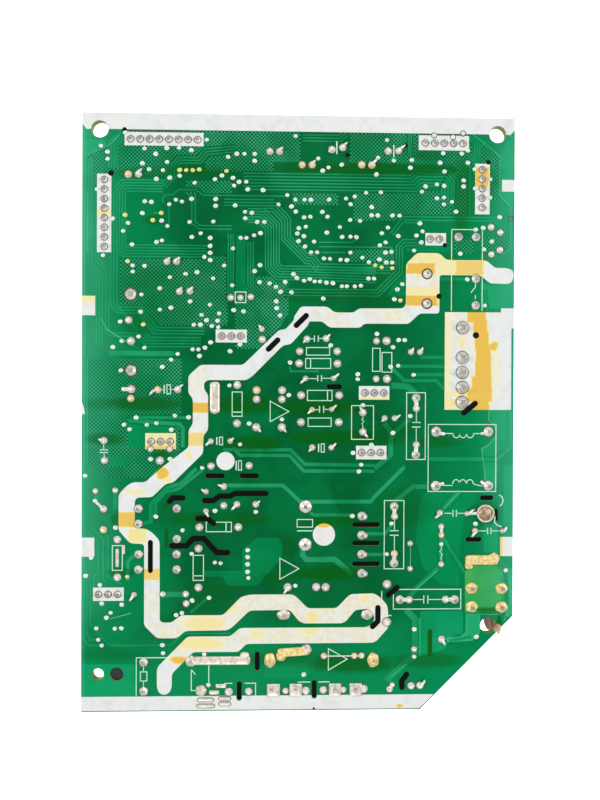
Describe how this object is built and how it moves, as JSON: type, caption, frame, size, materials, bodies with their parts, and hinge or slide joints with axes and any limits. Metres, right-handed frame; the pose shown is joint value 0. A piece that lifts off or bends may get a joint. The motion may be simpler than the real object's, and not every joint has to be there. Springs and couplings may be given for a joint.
{
  "type": "control board",
  "caption": "Main control board with its soldered face up: wired leads, milled slots, printed band and a cut-off corner, resting on its tall parts.",
  "frame": {"origin": "middle of the footprint, on the surface that the tallest parts rest on", "axes": "+Z out of the soldered face, +Y along the board towards the edge with two screw holes, +X across the board towards the cut corner"},
  "size_m": [0.114, 0.157, 0.0232],
  "materials": {
    "aluminium": "rolled",
    "black_epoxy": "moulded",
    "blue_coat": "dipped",
    "board": "glossy solder mask",
    "bobbin": "moulded",
    "box_film": "moulded",
    "brown_coat": "dipped",
    "can_sleeve": "shrunk sleeve",
    "chip_ceramic": "fired",
    "ferrite": "sintered",
    "glass_tube": "clear",
    "green_coat": "dipped",
    "magnet_wire": "enamelled",
    "plated_brass": "nickel plated",
    "post_plastic": "moulded",
    "relay_cover": "moulded",
    "resistor_coat": "lacquered",
    "screw_steel": "zinc plated",
    "tinned_leads": "bright tin",
    "tinned_metal": "bright tin",
    "white_nylon": "satin",
    "yellow_box": "moulded",
    "yellow_tape": "film tape"
  },
  "bodies": {
    "root": {"bridge_rectifier": "black_epoxy", "bulk_capacitor": "can_sleeve", "buzzer": "black_epoxy", "ceramic_capacitors": "brown_coat", "ceramic_resonator": "brown_coat", "chip_feet": "tinned_leads", "chip_passives": "chip_ceramic", "chips": "black_epoxy", "choke_bobbin": "bobbin", "choke_core_inner": "ferrite", "choke_core_outer": "ferrite", "choke_pins": "tinned_leads", "choke_windings": "magnet_wire", "circuit_board": "board", "component_leads": "tinned_leads", "diodes": "black_epoxy", "disc_thermistor": "green_coat", "earth_eyelet": "tinned_metal", "earth_terminal": "tinned_metal", "film_capacitor_a": "yellow_box", "film_capacitor_b": "yellow_box", "film_capacitor_c": "yellow_box", "film_capacitor_d": "box_film", "film_capacitor_e": "yellow_box", "filter_electrolytics": "can_sleeve", "fuse_caps": "plated_brass", "fuse_clips": "tinned_metal", "fuse_tube": "glass_tube", "header_a": "white_nylon", "header_b": "white_nylon", "header_c": "white_nylon", "header_d": "white_nylon", "header_e": "white_nylon", "header_f": "white_nylon", "header_g": "white_nylon", "header_h": "white_nylon", "header_i": "white_nylon", "header_j": "white_nylon", "header_pins": "tinned_leads", "heat_sink": "aluminium", "inrush_thermistor": "green_coat", "main_relay": "relay_cover", "microcontroller": "black_epoxy", "power_header": "white_nylon", "power_header_pins": "tinned_leads", "power_leads": "tinned_leads", "resistors": "resistor_coat", "safety_capacitors": "blue_coat", "screws": "screw_steel", "slim_relay": "relay_cover", "small_electrolytics": "can_sleeve", "support_post": "post_plastic", "surge_varistor": "blue_coat", "tab_terminals": "tinned_metal", "transformer_bobbin": "bobbin", "transformer_core_inner": "ferrite", "transformer_core_outer": "ferrite", "transformer_pins": "tinned_leads", "transformer_winding": "yellow_tape", "voltage_regulator": "black_epoxy"}
  },
  "joints": []
}
